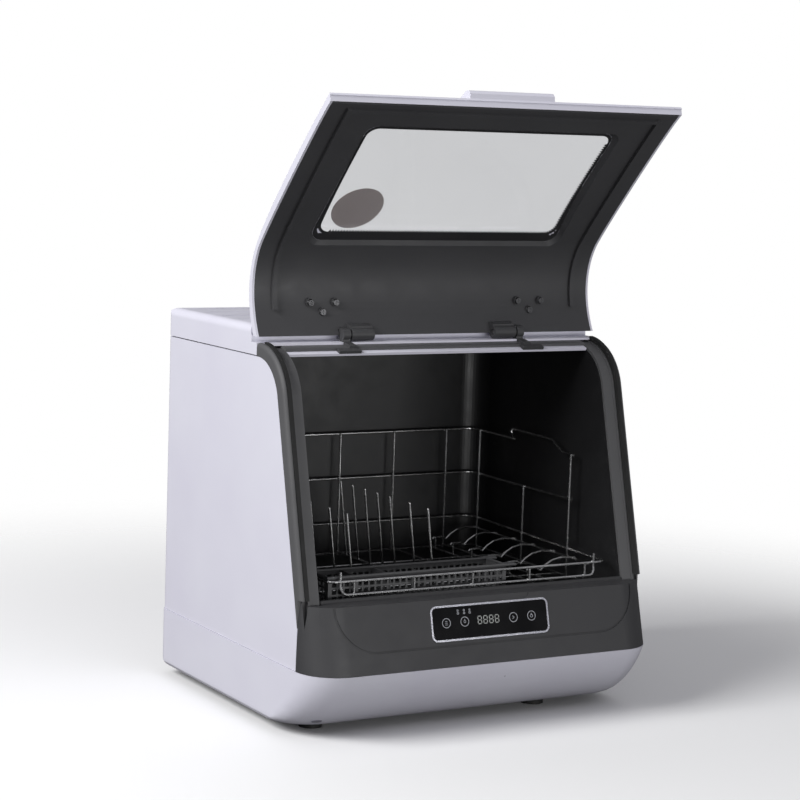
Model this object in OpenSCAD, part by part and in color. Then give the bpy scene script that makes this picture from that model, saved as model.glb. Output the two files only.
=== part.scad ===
// Countertop dishwasher with a front lid that swings up over a sloped opening.
// The lid is drawn open, as in the photograph. Millimetres, +Z up, +Y to the back, front towards -Y.
// The origin is on the floor under the middle of the cabinet.

/* [Cabinet] */

// Half of the cabinet's width at the side panels
side_x = 208.8; // [180:0.1:240]
// Half of the base tray's width, a little wider than the side panels
base_x = 210; // [182:0.1:242]
// Back face of the cabinet, from the origin
back_y = 188.6; // [150:0.1:220]
// Height of the seam between the base tray and the cabinet
seam_z = 75; // [60:0.5:100]
// Height where the side panels end and the top cover begins
cover_z = 384; // [340:0.5:390]
// Height of the top of the cabinet
top_z = 415; // [400:0.5:440]
// Underside of the base tray, above the floor
base_z = 9.3; // [5:0.1:20]
// Thickness of the white outer panels
panel_t = 2.5; // [1.5:0.1:4]

/* [Front profile] */

// Centre of the shoulder arc of the sloped front, depth
arc_y = -41.2; // [-60:0.1:-20]
// Centre of the shoulder arc of the sloped front, height
arc_z = 334.3; // [300:0.1:360]
// Radius of the shoulder arc
arc_r = 62.5; // [40:0.1:90]
// Tilt of the sloped front from the vertical, degrees
tilt = 14.1; // [5:0.1:25]
// Half of the opening's width
open_x = 185.6; // [160:0.1:200]
// Inset of the seam between the dark front frame and the white sides
seam_inset = 14; // [8:0.5:20]

/* [Control panel] */

// Face of the front panel at the seam
face_low_y = -189; // [-200:0.1:-170]
// Face of the front panel at its top
face_high_y = -171.5; // [-190:0.1:-150]
// Height of the ledge on top of the front panel
ledge_z = 142.5; // [130:0.5:150]
// Width of the control window with its bezel
control_w = 143.6; // [100:0.1:180]
// Height of the control window with its bezel, along the slope
control_h = 37.4; // [25:0.1:50]

/* [Lid] */

// Hinge axis, depth
hinge_y = -41; // [-50:0.1:-30]
// Hinge axis, height
hinge_z = 404.3; // [398:0.1:410]
// Half of the lid's width
lid_x = 209.4; // [180:0.1:240]
// Half of the window's width
window_x = 145.5; // [100:0.5:170]
// Half of the width of the recess around the window
recess_x = 154; // [110:0.5:175]
// Height of the lid's crowned middle above its edges
crown = 0; // [0:0.1:8]
// Height of the finger room behind the lid's grip
grip_room = 9.2; // [6:0.1:12]
// Radius of the hinge pins
pin_r = 3; // [2:0.1:4]
// Radius of the hinge barrels
barrel_r = 6.8; // [5:0.1:8]

/* [Tub] */

// Half of the tub's inner width
tub_x = 184.6; // [160:0.1:190]
// Inner face of the tub's back wall
tub_back_y = 156; // [120:0.5:170]
// Inner height of the tub's floor
tub_floor_z = 106; // [90:0.5:120]
// Inner height of the tub's roof
tub_roof_z = 384.5; // [350:0.5:390]
// Radius of the tub's rear corners
tub_corner_r = 25; // [10:1:50]
// Wall thickness of the tub
tub_t = 2; // [1:0.1:3]

/* [Basket] */

// Half of the basket's width
basket_x = 171.5; // [140:0.5:178]
// Front of the basket
basket_front_y = -138.5; // [-142:0.5:-100]
// Back of the basket
basket_back_y = 146; // [100:0.5:150]
// Wire diameter of the basket's rails
rail_d = 3; // [2:0.1:5]
// Wire diameter of the uprights, tines and cup wires
wire_d = 2.6; // [1.5:0.1:4]
// Height of the basket's floor wires
floor_z = 131; // [128:0.5:140]
// Spacing of the rear uprights
upright_pitch = 71; // [40:1:90]
// Spacing of the cup wires
cup_pitch = 40.5; // [25:0.5:60]

/* [Cutlery tray] */

// Left end of the tray
tray_x0 = -167; // [-168:0.5:-120]
// Right end of the tray
tray_x1 = 47; // [0:0.5:120]
// Front of the tray
tray_y0 = -131; // [-134:0.5:-110]
// Back of the tray
tray_y1 = -91; // [-110:0.5:-60]

/* [Hidden] */

white = [0.84, 0.83, 0.88];
charcoal = [0.27, 0.27, 0.28];
soft_black = [0.1, 0.1, 0.11];
tub_black = [0.13, 0.13, 0.14];
steel = [0.66, 0.67, 0.68];

face_slope = atan((face_high_y - face_low_y) / (ledge_z - seam_z));
lid_a = [[-183.3, 652.9], [-157.1, 630.3], [-58.3, 538.5], [-32.4, 498.5]];
lid_b = [[-32.4, 498.5], [-5.9, 457.5], [-22, 418], [-31, 403]];
liner_a = [[-185.5, 644.9], [-166.3, 631], [-72.3, 536.7], [-42.8, 502.9]];
liner_b = [[-42.8, 502.9], [-40, 499.8], [-6, 462.1], [-38.5, 403]];
rest_z = floor_z - rail_d / 2 - 0.3;
rack_z = floor_z + (rail_d + wire_d) / 2;
weld = (rail_d + wire_d) / 2 - 0.4;
bend_r = 12;
tray_z = floor_z + rail_d + wire_d - 1.5;
rib_x = 187.2;
recess_low = -95.3;
recess_high = 76;
window_low = -84.5;
window_high = 66;
window_y = -107.5;
window_z = 569.7;
window_turn = 136;
base_curve = [[-190, seam_z - 0.4], [-180, 50], [-150, 16], [-118, base_z]];
arm_y = 5;
tine_y = [115.5, 87, 58.5, 30, 2, -42, -81];
front_feet = [[-160, -88], [112, -92]];
rear_feet = [[-160, 150], [160, 150]];

// Points on an arc, from angle a0 to a1
function arc(c, r, a0, a1, n) =
    [for (i = [0:n]) let (a = a0 + (a1 - a0) * i / n) c + r * [cos(a), sin(a)]];

// Rectangle with rounded corners: rf at the y0 side, rr at the y1 side
function rounded(x0, y0, x1, y1, rf, rr, n = 12) = concat(
    arc([x1 - rf, y0 + rf], rf, -90, 0, n),
    arc([x1 - rr, y1 - rr], rr, 0, 90, n),
    arc([x0 + rr, y1 - rr], rr, 90, 180, n),
    arc([x0 + rf, y0 + rf], rf, 180, 270, n));

// Depth of the sloped front line at height z, moved inwards by inset
function front_y(z, inset) = arc_y - (arc_r - inset - sin(tilt) * (z - arc_z)) / cos(tilt);

// Side view of everything behind the sloped front, moved inwards by inset
function behind_front(inset, z_low, y_back) = concat(
    [[y_back, arc_z + arc_r - inset]],
    arc([arc_y, arc_z], arc_r - inset, 90, 180 - tilt, 30),
    [[front_y(z_low, inset), z_low], [y_back, z_low]]);

// Point on a cubic curve
function cubic(p, t) =
    let (s = 1 - t)
    s * s * s * p[0] + 3 * s * s * t * p[1] + 3 * s * t * t * p[2] + t * t * t * p[3];

// Direction of a cubic curve
function cubic_dir(p, t) =
    let (s = 1 - t)
    s * s * (p[1] - p[0]) + 2 * s * t * (p[2] - p[1]) + t * t * (p[3] - p[2]);

// Point on a cubic curve, moved inwards by d
function cubic_off(p, t, d) =
    let (v = cubic_dir(p, t))
    cubic(p, t) + d * [v[1], -v[0]] / norm(v);

// Two cubic curves in a row, moved inwards by d
function curve(a, b, d) = concat(
    [for (i = [0:13]) cubic_off(a, i / 14, d)],
    [for (i = [0:24]) cubic_off(b, i / 24, d)]);

// List in the opposite order
function reverse(v) = [for (i = [len(v) - 1:-1:0]) v[i]];

lid_outline = concat(curve(lid_a, lid_b, 0), reverse(curve(liner_a, liner_b, 0)));

// Share of the crown at step k along the lid
function swell(k) = k < 3 ? sin(30 * k) : k < 16 ? 1 : k < 30 ? cos((k - 16) * 90 / 14) : 0;

// Outer surface of the lid at depth d, with its middle crowned by c
function lid_line(d, c) = concat(
    [for (i = [0:13]) cubic_off(lid_a, i / 14, d - c * swell(i))],
    [for (i = [0:24]) cubic_off(lid_b, i / 24, d - c * swell(14 + i))]);

// Extrudes a side view (depth, height) from x0 to x1
module across(x0, x1) {
    translate([x0, 0, 0])
        rotate([90, 0, 90])
            linear_extrude(x1 - x0)
                children();
}

// The same on both sides of the middle
module both_sides() {
    children();
    mirror([1, 0, 0])
        children();
}

// Side view of a layer of the sloped front between two insets
module front_layer(in0, in1, z_low, y_back) {
    difference() {
        polygon(behind_front(in0, z_low, y_back));
        polygon(behind_front(in1, z_low - 5, y_back + 5));
    }
}

// Side view of a piece of the shoulder arc
module arc_layer(in0, in1, a0, a1) {
    polygon(concat(
        arc([arc_y, arc_z], arc_r - in0, a0, a1, 8),
        arc([arc_y, arc_z], arc_r - in1, a1, a0, 8)));
}

// Solid through rings of points with the same count, from one flat end to the other
module loft(rings) {
    n = len(rings[0]);
    m = len(rings);
    polyhedron(
        points = [for (r = rings) each r],
        faces = concat(
            [[for (i = [n - 1:-1:0]) i]],
            [[for (i = [0:n - 1]) (m - 1) * n + i]],
            [for (k = [0:m - 2]) for (i = [0:n - 1])
                [k * n + i, k * n + (i + 1) % n, (k + 1) * n + i]],
            [for (k = [0:m - 2]) for (i = [0:n - 1])
                [k * n + (i + 1) % n, (k + 1) * n + (i + 1) % n, (k + 1) * n + i]]));
}

// Thin horizontal slice with rounded corners, for blended shells
module slice(z, half_x, y0, y1, rf, rr) {
    translate([0, 0, z - 0.1])
        linear_extrude(0.2)
            polygon(rounded(-half_x, y0, half_x, y1, rf, rr, 16));
}

// Frame that lies in the lid's window: Y up the lid, Z to the inside
module on_lid() {
    translate([0, window_y, window_z])
        rotate([window_turn, 0, 0])
            children();
}

// Frame that lies on the face of the front panel: X along, Y up the face, Z out of it
module on_face(z) {
    translate([0, face_low_y + (face_high_y - face_low_y) * (z - seam_z) / (ledge_z - seam_z), z])
        rotate([90 - face_slope, 0, 0])
            children();
}

// Straight wire between two points
module wire(p, q, d) {
    v = q - p;
    l = norm(v);
    translate(p)
        rotate([0, acos(v[2] / l), atan2(v[1], v[0])])
            cylinder(d = d, h = l, $fn = 10);
}

// Wire through a list of points
module wire_path(points, d) {
    for (i = [1:len(points) - 1])
        wire(points[i - 1], points[i], d);
}

// The same points on the other side of the middle
function mirrored(v) = [for (p = v) [-p[0], p[1], p[2]]];

// Place of rear upright i of the basket
function back_x(i) = -151 + upright_pitch * i;

// Points around a corner of the basket from angle a0, measured from the side towards the end
function corner(end_y, way, z, a0, a1) =
    [for (a = [a0:18:a1]) [basket_x - bend_r + bend_r * cos(a), end_y + way * bend_r * (sin(a) - 1), z]];

// Middle of a corner, where the side wires meet the end wires
function corner_middle(end_y, way, z) =
    let (k = bend_r * cos(9))
    [basket_x - bend_r + k * cos(45), end_y + way * (k * sin(45) - bend_r), z];

// Outline of the base at step i of its curved front, moved inwards by t
function base_level(i, t) =
    let (q = cubic(base_curve, i / 12), e = max(0, 8 - (q[1] - base_z)), in = t + 8 - sqrt(64 - e * e))
    [for (p = rounded(-base_x + in, q[0] + t, base_x - in, back_y + 1.4 - in, 44 - t, 14 - t, 10))
        [p[0], p[1], q[1]]];

// White base with a front that curves back under the machine
module base_tray() {
    color(white)
        difference() {
            loft([for (i = [0:12]) base_level(i, 0)]);
            translate([0, 0, 3])
                loft([for (i = [0:12]) base_level(i, 3)]);
            for (i = [0:8])
                translate([-48 + 12 * i, 60, base_z - 1])
                    cube([5, 70, 6]);
        }
}

// Four rubber feet under the base
module feet() {
    color(soft_black)
        for (p = concat(front_feet, rear_feet))
            translate([p[0], p[1], 0])
                union() {
                    cylinder(r = 11, h = base_z - 2, $fn = 48);
                    cylinder(r = 12.5, h = base_z - 4, $fn = 48);
                    cylinder(r = 9, h = base_z, $fn = 48);
                }
}

// White wrap around the left, the back and the right
module side_housing() {
    color(white)
        difference() {
            intersection() {
                translate([0, 0, seam_z])
                    linear_extrude(cover_z - seam_z - 0.2)
                        polygon(rounded(-side_x, -230, side_x, back_y, 1, 12));
                across(-side_x - 1, side_x + 1)
                    polygon(behind_front(seam_inset, seam_z - 1, back_y + 1));
                translate([-300, -145.6, 0])
                    cube([600, 400, 500]);
            }
            translate([0, 0, seam_z - 1])
                linear_extrude(cover_z)
                    polygon(rounded(-side_x + panel_t, -260, side_x - panel_t, back_y - panel_t, 1, 9.5));
            translate([-165, back_y - 6, 90])
                cube([120, 12, 60]);
            for (i = [0:9])
                translate([60, back_y - 6, 250 + 8 * i])
                    cube([90, 12, 3.5]);
        }
}

// Side view of the top cover; the front rolls down behind the lid to a thin lip
function cover_profile(t) = concat(
    [[back_y - t, cover_z - t * 2]],
    arc([back_y - 14, top_z - 14], 14 - t, 0, 90, 8),
    arc([-11, top_z - 14], 14 - t, 90, 172, 8),
    [[-25 + t, 398 - t], [-25 + t, cover_z - t * 2]]);

// White top cover with five shallow cross grooves
module top_cover() {
    color(white)
        union() {
            difference() {
                intersection() {
                    across(-side_x, side_x)
                        polygon(concat(
                            [[back_y, cover_z]],
                            arc([back_y - 14, top_z - 14], 14, 0, 90, 8),
                            arc([-11, top_z - 14], 14, 90, 172, 8),
                            [[-25, arc_z + arc_r], [-38, arc_z + arc_r], [-38, cover_z]]));
                    rotate([90, 0, 0])
                        translate([0, 0, -back_y - 1])
                            linear_extrude(back_y + 60)
                                polygon(concat(
                                    [[side_x, cover_z - 1]],
                                    arc([side_x - 9, top_z - 9], 9, 0, 90, 8),
                                    arc([-side_x + 9, top_z - 9], 9, 90, 180, 8),
                                    [[-side_x, cover_z - 1]]));
                    linear_extrude(500)
                        polygon(rounded(-side_x, -100, side_x, back_y, 1, 12));
                }
                intersection() {
                    across(-side_x + panel_t, side_x - panel_t)
                        polygon(cover_profile(panel_t));
                    rotate([90, 0, 0])
                        translate([0, 0, -back_y])
                            linear_extrude(back_y + 60)
                                polygon(concat(
                                    [[side_x - panel_t, cover_z - 9]],
                                    arc([side_x - 9, top_z - 9], 6.5, 0, 90, 8),
                                    arc([-side_x + 9, top_z - 9], 6.5, 90, 180, 8),
                                    [[-side_x + panel_t, cover_z - 9]]));
                }
                across(-side_x + panel_t, side_x - panel_t)
                    polygon([[-40, cover_z - 5], [-40, 393.8], [-22, 393.8], [-22, cover_z - 5]]);
                for (i = [0:4])
                    translate([-196, 158 - 42 * i, top_z - 1])
                        cube([392, 2.4, 3]);
            }
            difference() {
                across(-199, 199)
                    arc_layer(0, 2.3, 84, 96);
                both_sides()
                    translate([103, -70, 380])
                        cube([9.6, 60, 40]);
            }
        }
}

// Rounded outer crest of the front frame on one side, with a tail between the side and the panel
module frame_crest() {
    difference() {
        hull() {
            across(204.4, 205.8)
                polygon(behind_front(0, 119, -38.3));
            across(207, 207.2)
                polygon(behind_front(0.9, 119, -38.3));
            across(208.2, 208.3)
                polygon(behind_front(2.6, 119, -38.3));
            across(208.7, side_x)
                polygon(behind_front(5, 119, -38.3));
        }
        across(200, 212)
            polygon([[-190, 100], [-190, 147.6], [-145.5, 147.6], [-145.5, 100]]);
        across(200, 212)
            polygon(behind_front(seam_inset - 0.2, 100, 0));
        across(200, 206.2)
            polygon(behind_front(9, 100, 0));
    }
}

// Dark frame around the opening: inner strip, gasket groove, outer crest, top bar
module front_frame() {
    color(charcoal)
        union() {
            both_sides() {
                frame_crest();
                across(open_x, 197.6)
                    front_layer(5, 8.2, 120, -38.3);
                across(197.6, 199.4)
                    front_layer(3.6, 11, 120, -38.3);
                across(199.4, 204.4)
                    front_layer(8.4, 11, 120, -38.3);
            }
            across(-open_x, open_x)
                arc_layer(2.5, 5.3, 88, 107);
        }
}

// Soft seal in the groove of the front frame
module door_gasket() {
    color(soft_black)
        both_sides()
            difference() {
                across(199.9, 203.9)
                    front_layer(-1.6, 8.4, 147.6, -38.3);
                translate([190, -46, 300])
                    cube([20, 60, 120]);
            }
}

// White strip under the top bar
module top_seal_strip() {
    color(white)
        difference() {
            across(-184.4, 184.4)
                arc_layer(5.5, 8.3, 104.5, 113.5);
            both_sides()
                translate([100, -80, 380])
                    cube([27, 40, 2]);
        }
}

// Hinge brackets: clip under the bar, arm through the lip, and a barrel on the axis
module hinge_brackets() {
    color(charcoal)
        both_sides()
            difference() {
                union() {
                    across(100.3, 126.5)
                        arc_layer(2.2, 5.3, 107.4, 114.5);
                    across(103.6, 112)
                        arc_layer(-0.3, 2.3, 88, 108);
                    across(103.6, 112)
                        polygon([[-45.5, 394.8], [-45.5, 404], [-38.3, 404], [-38.3, 396]]);
                    translate([103.6, hinge_y, hinge_z])
                        rotate([0, 90, 0])
                            cylinder(r = barrel_r, h = 8.4, $fn = 64);
                }
                translate([100, hinge_y, hinge_z])
                    rotate([0, 90, 0])
                        cylinder(r = pin_r, h = 11, $fn = 48);
            }
}

// Steel pins of the two hinges
module hinge_pins() {
    color(steel)
        both_sides()
            translate([77, hinge_y, hinge_z])
                rotate([0, 90, 0])
                    cylinder(r = pin_r, h = 34, $fn = 48);
}

// Outline of the U-shaped line on the front panel, as a band in front view
module smile_band() {
    difference() {
        polygon(rounded(-181.2, 94.8, 181.2, 200, 46, 1, 20));
        polygon(rounded(-179, 97, 179, 202, 44, 1, 20));
    }
}

// Outline of the control window, moved inwards by t
module control_plan(t) {
    x = control_w / 2 - t;
    y = control_h / 2 - t;
    polygon(rounded(-x, -y, x, y, 7 - t, 7 - t, 10));
}

// Slices of the front panel, moved inwards by t
module panel_slices(t, z0, z1) {
    slice(z0, side_x + 0.5 - t, face_low_y + t, -100, 42 - t, 1);
    slice(z1, side_x + 0.5 - t, face_high_y + t - (z1 - ledge_z) * tan(face_slope) * -1, -100, 42 - t, 1);
}

// Dark front panel with a ledge on top, a U-shaped line and a hand recess
module front_panel() {
    color(charcoal)
        difference() {
            hull()
                panel_slices(0, seam_z, 147.2);
            difference() {
                hull()
                    panel_slices(3, seam_z - 0.5, 147.4);
                translate([-204.8, -230, ledge_z - 3])
                    cube([409.6, 81.7, 3]);
                translate([-184.3, -148.3, ledge_z - 3])
                    cube([368.6, 2.3, 6.1]);
            }
            translate([-204.8, -230, ledge_z])
                cube([409.6, 81.7, 20]);
            translate([-250, -154.4, ledge_z])
                translate([0, -40, 0])
                    cube([500, 40, 20]);
            both_sides()
                translate([184.3, -154.4, 100])
                    cube([20.5, 80, 60]);
            translate([-300, -145.9, 0])
                cube([600, 200, 300]);
            difference() {
                rotate([90, 0, 0])
                    linear_extrude(300)
                        smile_band();
                hull()
                    panel_slices(1, seam_z - 0.5, 147.4);
            }
            on_face(143.5)
                translate([0, 0, -1.6])
                    linear_extrude(12)
                        polygon(rounded(-50, -6.5, 50, 12, 4, 1, 8));
            on_face(118.3)
                translate([0, 0, -1.4])
                    linear_extrude(12)
                        control_plan(0);
        }
}

// Silver rim around the control window
module control_bezel() {
    color([0.8, 0.8, 0.86])
        on_face(118.3)
            translate([0, 0, -1.3])
                linear_extrude(2)
                    difference() {
                        control_plan(0.2);
                        control_plan(2.2);
                    }
}

// Black control window with a touch ring recess for each sensor
module control_glass() {
    color([0.02, 0.02, 0.02])
        on_face(118.3)
            difference() {
                translate([0, 0, -1.3])
                    linear_extrude(1.7)
                        control_plan(2.3);
                for (x = [-53.3, -31.2, 28.1, 50.5])
                    translate([x, 0.4, 0.3])
                        difference() {
                            cylinder(r = 5.2, h = 1, $fn = 48);
                            cylinder(r = 4.7, h = 1, $fn = 48);
                        }
            }
}

// Four seven-segment digits that show through the control window
module display_digits() {
    color([0.75, 0.8, 0.85])
        on_face(118.3)
            translate([0, 0, 0.4])
                linear_extrude(0.12)
                    for (i = [0:3])
                        translate([-15.6 + 7 * i, -3.6])
                            for (k = [0:1]) {
                                for (j = [0:2])
                                    translate([0.7, 3.9 * j])
                                        square([3.4, 0.8]);
                                for (j = [0:1])
                                    translate([4.3 * k, 1 + 3.9 * j])
                                        square([0.8, 2.7]);
                            }
}

// Plan of the tub, grown by t
module tub_plan(t) {
    polygon(rounded(-tub_x - t, -260, tub_x + t, tub_back_y + t, 1, tub_corner_r + t));
}

// Dark inner tub with rounded rear corners, a sump hole and a filter hole
module tub() {
    color(tub_black)
        difference() {
            intersection() {
                translate([0, 0, tub_floor_z - tub_t])
                    linear_extrude(tub_roof_z - tub_floor_z + 2 * tub_t)
                        tub_plan(tub_t);
                across(-300, 300)
                    polygon(behind_front(8.5, 60, 300));
            }
            intersection() {
                translate([0, 0, tub_floor_z])
                    linear_extrude(tub_roof_z - tub_floor_z)
                        tub_plan(0);
                across(-300, 300)
                    polygon([[300, 145.2], [300, 420], [-200, 420], [-200, 145.2]]);
            }
            intersection() {
                translate([0, 0, tub_floor_z])
                    linear_extrude(60)
                        tub_plan(0);
                across(-tub_x, tub_x)
                    polygon(behind_front(10.5, 60, 300));
            }
            translate([0, arm_y, tub_floor_z - 10])
                cylinder(r = 46, h = 20, $fn = 96);
            translate([-140, 110, tub_floor_z - 10])
                cylinder(r = 24, h = 20, $fn = 72);
        }
}

// Four ledges on the tub's side walls that carry the basket
module basket_rests() {
    color(tub_black)
        both_sides()
            for (y = [-92, 74])
                translate([0, y, 0])
                    rotate([90, 0, 0])
                        linear_extrude(22, center = true)
                            polygon([[tub_x - 0.02, tub_floor_z + 0.02], [tub_x - 0.02, rest_z + 3],
                                [tub_x - 4, rest_z + 3], [tub_x - 5.6, rest_z],
                                [basket_x - 3, rest_z], [basket_x + 3, tub_floor_z + 0.02]]);
}

// Round sump under the tub with the post that carries the spray arm
module sump() {
    color(charcoal)
        translate([0, arm_y, 0])
            difference() {
                union() {
                    translate([0, 0, 66])
                        cylinder(r = 49, h = tub_floor_z - tub_t - 66, $fn = 96);
                    translate([0, 0, 70])
                        cylinder(r = 5, h = 52.6, $fn = 48);
                }
                difference() {
                    translate([0, 0, 69])
                        cylinder(r = 45.5, h = 60, $fn = 96);
                    translate([0, 0, 60])
                        cylinder(r = 9, h = 47, $fn = 48);
                    translate([0, 0, 60])
                        cylinder(r = 5, h = 65, $fn = 48);
                }
            }
}

// Perforated plate over the sump, around the spray arm's post
module filter_plate() {
    color(steel)
        translate([0, arm_y, tub_floor_z - 1.5])
            difference() {
                cylinder(r = 45, h = 1.2, $fn = 96);
                translate([0, 0, -1])
                    cylinder(r = 9.2, h = 4, $fn = 48);
                for (ring = [1:3])
                    for (i = [0:6 + 6 * ring - 1])
                        rotate([0, 0, 360 / (6 + 6 * ring) * i])
                            translate([8 + 9 * ring, 0, -1])
                                cylinder(r = 2, h = 4, $fn = 24);
            }
}

// Circulation pump beside the sump
module wash_pump() {
    color([0.2, 0.2, 0.22])
        union() {
            translate([60, 40, 46])
                rotate([0, 90, 0])
                    cylinder(r = 27, h = 82, $fn = 72);
            translate([48, 40, 46])
                rotate([0, 90, 0])
                    cylinder(r = 33, h = 16, $fn = 72);
            translate([0, 34, 38])
                cube([50, 12, 16]);
            translate([0, 30, 38])
                cylinder(r = 10, h = 27.8, $fn = 48);
        }
}

// Drain pump beside the sump
module drain_pump() {
    color([0.16, 0.3, 0.22])
        union() {
            translate([-110, -20, 40])
                rotate([0, 90, 0])
                    cylinder(r = 19, h = 54, $fn = 64);
            translate([-58, -20, 40])
                rotate([0, 90, 0])
                    cylinder(r = 24, h = 14, $fn = 64);
            translate([-46, -28, 30])
                cube([26, 14, 14]);
            translate([-24, -21, 30])
                cylinder(r = 8, h = 35.8, $fn = 40);
        }
}

// Heater ring under the tub floor
module heater_ring() {
    color(steel)
        translate([0, arm_y, 98])
            rotate_extrude(angle = 300, $fn = 96)
                translate([62, 0])
                    circle(r = 4, $fn = 32);
}

// Water inlet valve behind the service panel
module inlet_valve() {
    color([0.85, 0.85, 0.82])
        union() {
            translate([-142, 140, 60])
                cube([44, 26, 22]);
            translate([-120, 153, 40])
                cylinder(r = 11, h = 21, $fn = 48);
            translate([-104, 153, 30])
                cylinder(r = 7, h = 31, $fn = 40);
        }
}

// Circuit board behind the control window
module control_board() {
    color([0.1, 0.32, 0.16])
        on_face(112)
            union() {
                translate([-62, -22, -13])
                    cube([124, 44, 1.6]);
                translate([-20, -2, -11.5])
                    cube([32, 12, 5]);
                translate([34, -16, -11.5])
                    cube([18, 12, 7]);
            }
}

// Recessed panel in the back for the water and mains connections
module service_panel() {
    color(charcoal)
        difference() {
            translate([-167, 168, 88])
                cube([124, back_y - panel_t - 0.2 - 168, 64]);
            translate([-164.6, 170, 90.4])
                cube([119.2, 30, 59.2]);
            translate([-140, 160, 120])
                rotate([-90, 0, 0])
                    cylinder(r = 11, h = 20, $fn = 48);
            translate([-100, 160, 120])
                rotate([-90, 0, 0])
                    cylinder(r = 7.5, h = 20, $fn = 48);
            translate([-64, 160, 120])
                rotate([-90, 0, 0])
                    cylinder(r = 5.5, h = 20, $fn = 48);
        }
}

// Threaded water inlet, drawn at the size of the thread's crest
module inlet_connector() {
    color([0.85, 0.85, 0.85])
        translate([-140, 0, 120])
            rotate([-90, 0, 0])
                difference() {
                    union() {
                        translate([0, 0, 160])
                            cylinder(r = 10.8, h = 28, $fn = 72);
                        translate([0, 0, 170.2])
                            cylinder(r = 16, h = 2, $fn = 6);
                        translate([0, 0, 172.2])
                            cylinder(r = 13.2, h = 15.8, $fn = 96);
                    }
                    translate([0, 0, 150])
                        cylinder(r = 8, h = 50, $fn = 48);
                }
}

// Drain spigot with a barb at its end
module drain_spigot() {
    color(soft_black)
        translate([-100, 0, 120])
            rotate([-90, 0, 0])
                difference() {
                    union() {
                        translate([0, 0, 160])
                            cylinder(r = 7.2, h = 12, $fn = 48);
                        translate([0, 0, 170.2])
                            cylinder(r = 12, h = 2.5, $fn = 48);
                        translate([0, 0, 172])
                            cylinder(r = 9, h = 16.4, $fn = 72);
                    }
                    translate([0, 0, 150])
                        cylinder(r = 5.5, h = 50, $fn = 48);
                }
}

// Cable gland with its clamping nut
module cable_gland() {
    color(soft_black)
        translate([-64, 0, 120])
            rotate([-90, 0, 0])
                union() {
                    translate([0, 0, 160])
                        cylinder(r = 5.3, h = 12, $fn = 48);
                    translate([0, 0, 170.2])
                        cylinder(r = 10, h = 5, $fn = 6);
                    translate([0, 0, 175.2])
                        cylinder(r1 = 8, r2 = 5.5, h = 8, $fn = 48);
                }
}

// Two-bladed spray arm with a hub and jets on its upper side
module spray_arm() {
    color([0.5, 0.51, 0.53])
        translate([0, arm_y, 0])
            difference() {
                union() {
                    translate([0, 0, 110])
                        cylinder(r = 17, h = 11, $fn = 72);
                    for (a = [0, 180])
                        rotate([0, 0, a])
                            translate([0, 0, 112])
                                linear_extrude(8)
                                    polygon(concat(
                                        arc([118, 6], 12, -80, 90, 14),
                                        [[60, 16], [8, 13], [8, -13], [60, -12]]));
                }
                translate([0, 0, 100])
                    cylinder(r = 5.06, h = 30, $fn = 64);
                for (a = [0, 180])
                    rotate([0, 0, a])
                        for (x = [32, 55, 78, 100, 118])
                            translate([x, 2 + x / 30, 117])
                                rotate([14, 0, 0])
                                    cylinder(r = 1.6, h = 8, $fn = 20);
            }
}

// Lift-out lint filter in the tub floor
module lint_filter() {
    color(steel)
        translate([-140, 110, 0])
            difference() {
                union() {
                    translate([0, 0, 84])
                        cylinder(r = 23, h = 22, $fn = 72);
                    translate([0, 0, 106.4])
                        cylinder(r = 27, h = 1.6, $fn = 72);
                    translate([0, 0, 105.8])
                        cylinder(r = 23, h = 2, $fn = 72);
                    translate([-2, -14, 107])
                        cube([4, 28, 3.4]);
                }
                translate([0, 0, 80])
                    cylinder(r = 21, h = 25, $fn = 72);
                for (i = [0:11])
                    rotate([0, 0, 30 * i])
                        translate([18, -2, 88])
                            cube([8, 4, 13]);
            }
}

// Flat bottom of the basket: a closed ring with wires along and across
module basket_floor() {
    x = basket_x + 0.42;
    y0 = basket_front_y - 0.42;
    y1 = basket_back_y + 0.42;
    loop = concat(
        arc([x - bend_r, y1 - bend_r], bend_r, 90, 0, 5),
        arc([x - bend_r, y0 + bend_r], bend_r, 0, -90, 5),
        arc([-x + bend_r, y0 + bend_r], bend_r, 270, 180, 5),
        arc([-x + bend_r, y1 - bend_r], bend_r, 180, 90, 5));
    color(steel)
        union() {
            wire_path([for (q = concat(loop, [loop[0]])) [q[0], q[1], floor_z]], rail_d);
            for (i = [0:4])
                wire([back_x(i), y0 + 0.8, floor_z + weld],
                    [back_x(i), basket_back_y - weld - wire_d / 2 - 0.05, floor_z + weld], wire_d);
            for (y = [-96, -45, 15, 75])
                wire([-x + 0.3, y, floor_z], [x - 0.3, y, floor_z], wire_d);
        }
}

// Rail along one end of the basket, up to the middle of both corners
module end_rail(end_y, way, z) {
    half = concat([corner_middle(end_y, way, z)], corner(end_y, way, z, 54, 90));
    wire_path(concat(mirrored(half), reverse(half)), rail_d);
}

// Back wall of the basket: three rails with five uprights welded to their inner side
module basket_back() {
    color(steel)
        union() {
            for (z = [166, 218.5, 270.5])
                end_rail(basket_back_y, 1, z);
            for (i = [0:4])
                wire([back_x(i), basket_back_y - weld, floor_z - 1],
                    [back_x(i), basket_back_y - weld, 271], wire_d);
        }
}

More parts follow.
